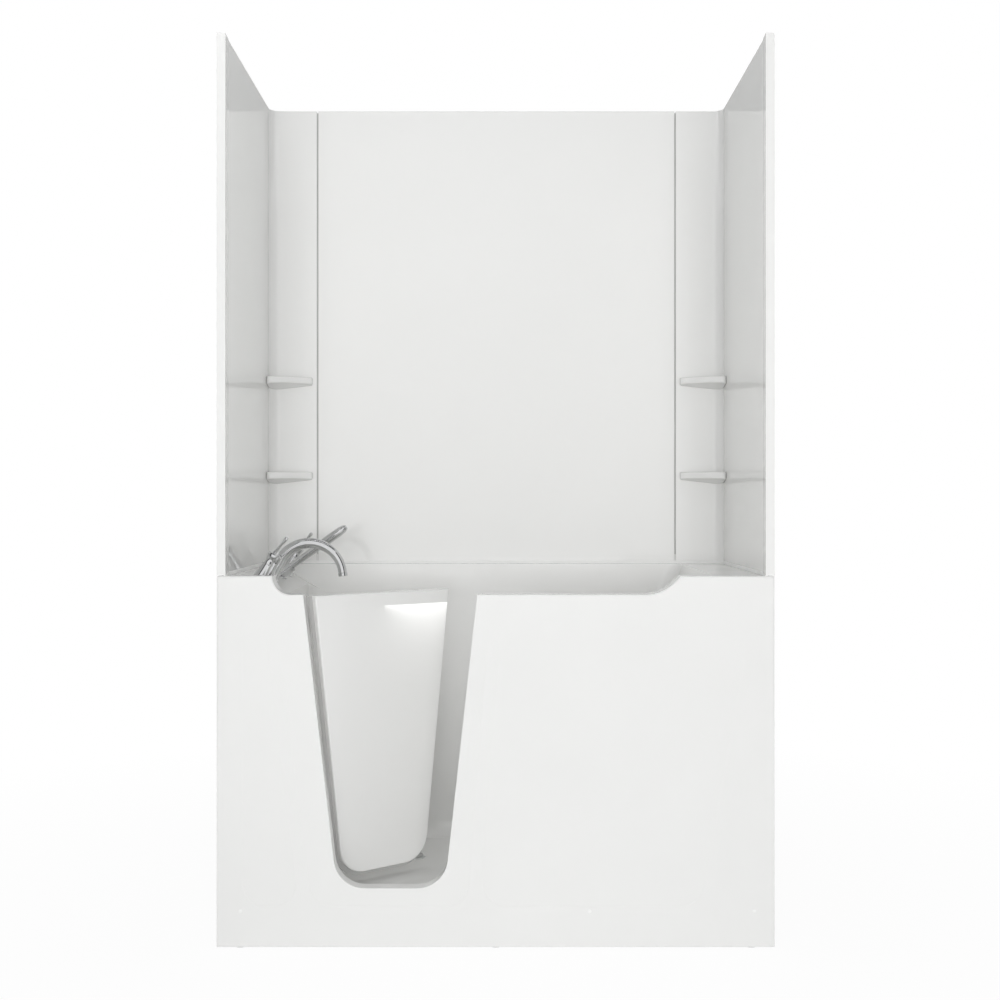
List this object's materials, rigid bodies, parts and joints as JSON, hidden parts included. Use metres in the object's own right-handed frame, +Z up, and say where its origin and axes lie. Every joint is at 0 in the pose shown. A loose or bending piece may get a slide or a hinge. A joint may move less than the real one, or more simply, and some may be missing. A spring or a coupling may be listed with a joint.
{
  "type": "walk-in jetted bathtub",
  "caption": "Walk-in jetted bath with an inward-opening door, a moulded seat, faucet set with hand shower and a tall three-wall surround with corner shelves.",
  "frame": {"origin": "middle of the footprint on the floor", "axes": "+X to the right seen from the front, +Y to the back wall, +Z up"},
  "size_m": [1.524, 0.762, 2.5],
  "materials": {
    "white_acrylic": "polished white acrylic",
    "white_trim": "moulded white plastic",
    "grey_seal": "matt grey sealing strip",
    "chrome": "polished chrome plate",
    "brushed_steel": "brushed stainless steel",
    "brass": "plain brass",
    "grey_pipe": "rigid pipe plastic",
    "black_plastic": "matt black casing",
    "painted_frame": "grey powder coat",
    "composite_board": "composite board"
  },
  "bodies": {
    "tub": {"tub_shell": "white_acrylic", "front_apron": "white_acrylic", "apron_screws": "brushed_steel", "apron_caps": "white_trim", "hinge_brackets": "brushed_steel", "hinge_pins": "chrome", "latch_keeper": "brushed_steel", "back_panel": "white_acrylic", "left_corner_panel": "white_acrylic", "right_corner_panel": "white_acrylic", "upper_left_shelf": "white_acrylic", "upper_right_shelf": "white_acrylic", "lower_left_shelf": "white_acrylic", "lower_right_shelf": "white_acrylic", "seam_battens": "grey_seal", "sealant_bead": "white_trim", "tap_bells": "chrome", "spout": "chrome", "shower_holder": "chrome", "valve_bodies": "brass", "mounting_shanks": "brass", "supply_pipes": "brass", "drain_body": "grey_pipe", "overflow_plate": "chrome", "overflow_pipe": "grey_pipe", "pump_volute": "black_plastic", "pump_motor": "black_plastic", "pump_board": "composite_board", "suction_cover": "white_trim", "suction_pipe": "grey_pipe", "water_manifold": "grey_pipe", "jet_bodies": "white_trim", "button_base": "white_trim", "front_frame_rail": "painted_frame", "back_frame_rail": "painted_frame", "cross_rails": "painted_frame", "corner_posts": "painted_frame", "seat_legs": "painted_frame", "seat_rails": "painted_frame", "floor_bearers": "composite_board", "levelling_feet": "brushed_steel", "foot_nuts": "brushed_steel"},
    "door": {"door_leaf": "white_acrylic", "door_gasket": "grey_seal", "door_hinge_straps": "brushed_steel", "latch_case": "brushed_steel"},
    "latch_lever": {"latch_lever": "brushed_steel"},
    "latch_bolt": {"latch_bolt": "brushed_steel"},
    "hot_handle": {"hot_handle": "chrome"},
    "cold_handle": {"cold_handle": "chrome"},
    "diverter_knob": {"diverter_knob": "chrome"},
    "hand_shower": {"hand_shower": "chrome"},
    "overflow_knob": {"overflow_knob": "chrome"},
    "drain_stopper": {"drain_stopper": "chrome"},
    "pump_impeller": {"pump_impeller": "black_plastic"},
    "pump_button": {"pump_button": "white_trim"},
    "jet_nozzle_1": {"jet_nozzle_1": "white_trim"},
    "jet_nozzle_2": {"jet_nozzle_2": "white_trim"},
    "jet_nozzle_3": {"jet_nozzle_3": "white_trim"},
    "jet_nozzle_4": {"jet_nozzle_4": "white_trim"}
  },
  "joints": [
    {"name": "door_swing", "type": "hinge", "parent": "tub", "child": "door", "pos_m": [-0.545, -0.309, 0.6], "axis": [0, 0, 1], "range_deg": [-40, 45]},
    {"name": "latch_turn", "type": "hinge", "parent": "door", "child": "latch_lever", "pos_m": [-0.22718, -0.03448, 0.711], "axis": [-0.6428, 0.766, 0], "range_deg": [0, 90]},
    {"name": "bolt_slide", "type": "slide", "parent": "door", "child": "latch_bolt", "axis": [0.766, 0.6428, 0], "range_m": [0, 0.018]},
    {"name": "hot_turn", "type": "hinge", "parent": "tub", "child": "hot_handle", "pos_m": [-0.67262, -0.261, 0.99153], "axis": [0.5, 0, 0.866], "range_deg": [-90, 0]},
    {"name": "cold_turn", "type": "hinge", "parent": "tub", "child": "cold_handle", "pos_m": [-0.67262, 0.239, 0.99153], "axis": [0.5, 0, 0.866], "range_deg": [0, 90]},
    {"name": "diverter_turn", "type": "hinge", "parent": "tub", "child": "diverter_knob", "pos_m": [-0.67262, -0.151, 0.99153], "axis": [0.5, 0, 0.866], "range_deg": [-90, 90]},
    {"name": "hand_shower_slide", "type": "slide", "parent": "tub", "child": "hand_shower", "axis": [0.8141, 0, 0.5807], "range_m": [0, 0.08]},
    {"name": "overflow_turn", "type": "hinge", "parent": "tub", "child": "overflow_knob", "pos_m": [-0.6, 0.06, 0.87], "axis": [1, 0, 0], "range_deg": [0, 90]},
    {"name": "stopper_lift", "type": "slide", "parent": "tub", "child": "drain_stopper", "axis": [0, 0, 1], "range_m": [0, 0.012]},
    {"name": "impeller_spin", "type": "hinge", "parent": "tub", "child": "pump_impeller", "pos_m": [0.296, 0.1, 0.24], "axis": [1, 0, 0], "continuous": true},
    {"name": "button_press", "type": "slide", "parent": "tub", "child": "pump_button", "axis": [0, -1, 0], "range_m": [0, 0.003], "stiffness_N_per_m": 600},
    {"name": "nozzle_1_turn", "type": "hinge", "parent": "tub", "child": "jet_nozzle_1", "pos_m": [0.1, 0.338, 0.7], "axis": [0, -1, 0], "range_deg": [-90, 90]},
    {"name": "nozzle_2_turn", "type": "hinge", "parent": "tub", "child": "jet_nozzle_2", "pos_m": [0.25, 0.338, 0.7], "axis": [0, -1, 0], "range_deg": [-90, 90]},
    {"name": "nozzle_3_turn", "type": "hinge", "parent": "tub", "child": "jet_nozzle_3", "pos_m": [-0.48, 0.338, 0.26], "axis": [0, -1, 0], "range_deg": [-90, 90]},
    {"name": "nozzle_4_turn", "type": "hinge", "parent": "tub", "child": "jet_nozzle_4", "pos_m": [-0.36, 0.338, 0.26], "axis": [0, -1, 0], "range_deg": [-90, 90]}
  ],
  "couplings": [
    {"joint": "bolt_slide", "follows": "latch_turn", "m_per_rad": 0.011459},
    {"joint": "stopper_lift", "follows": "overflow_turn", "m_per_rad": 0.0076394}
  ]
}
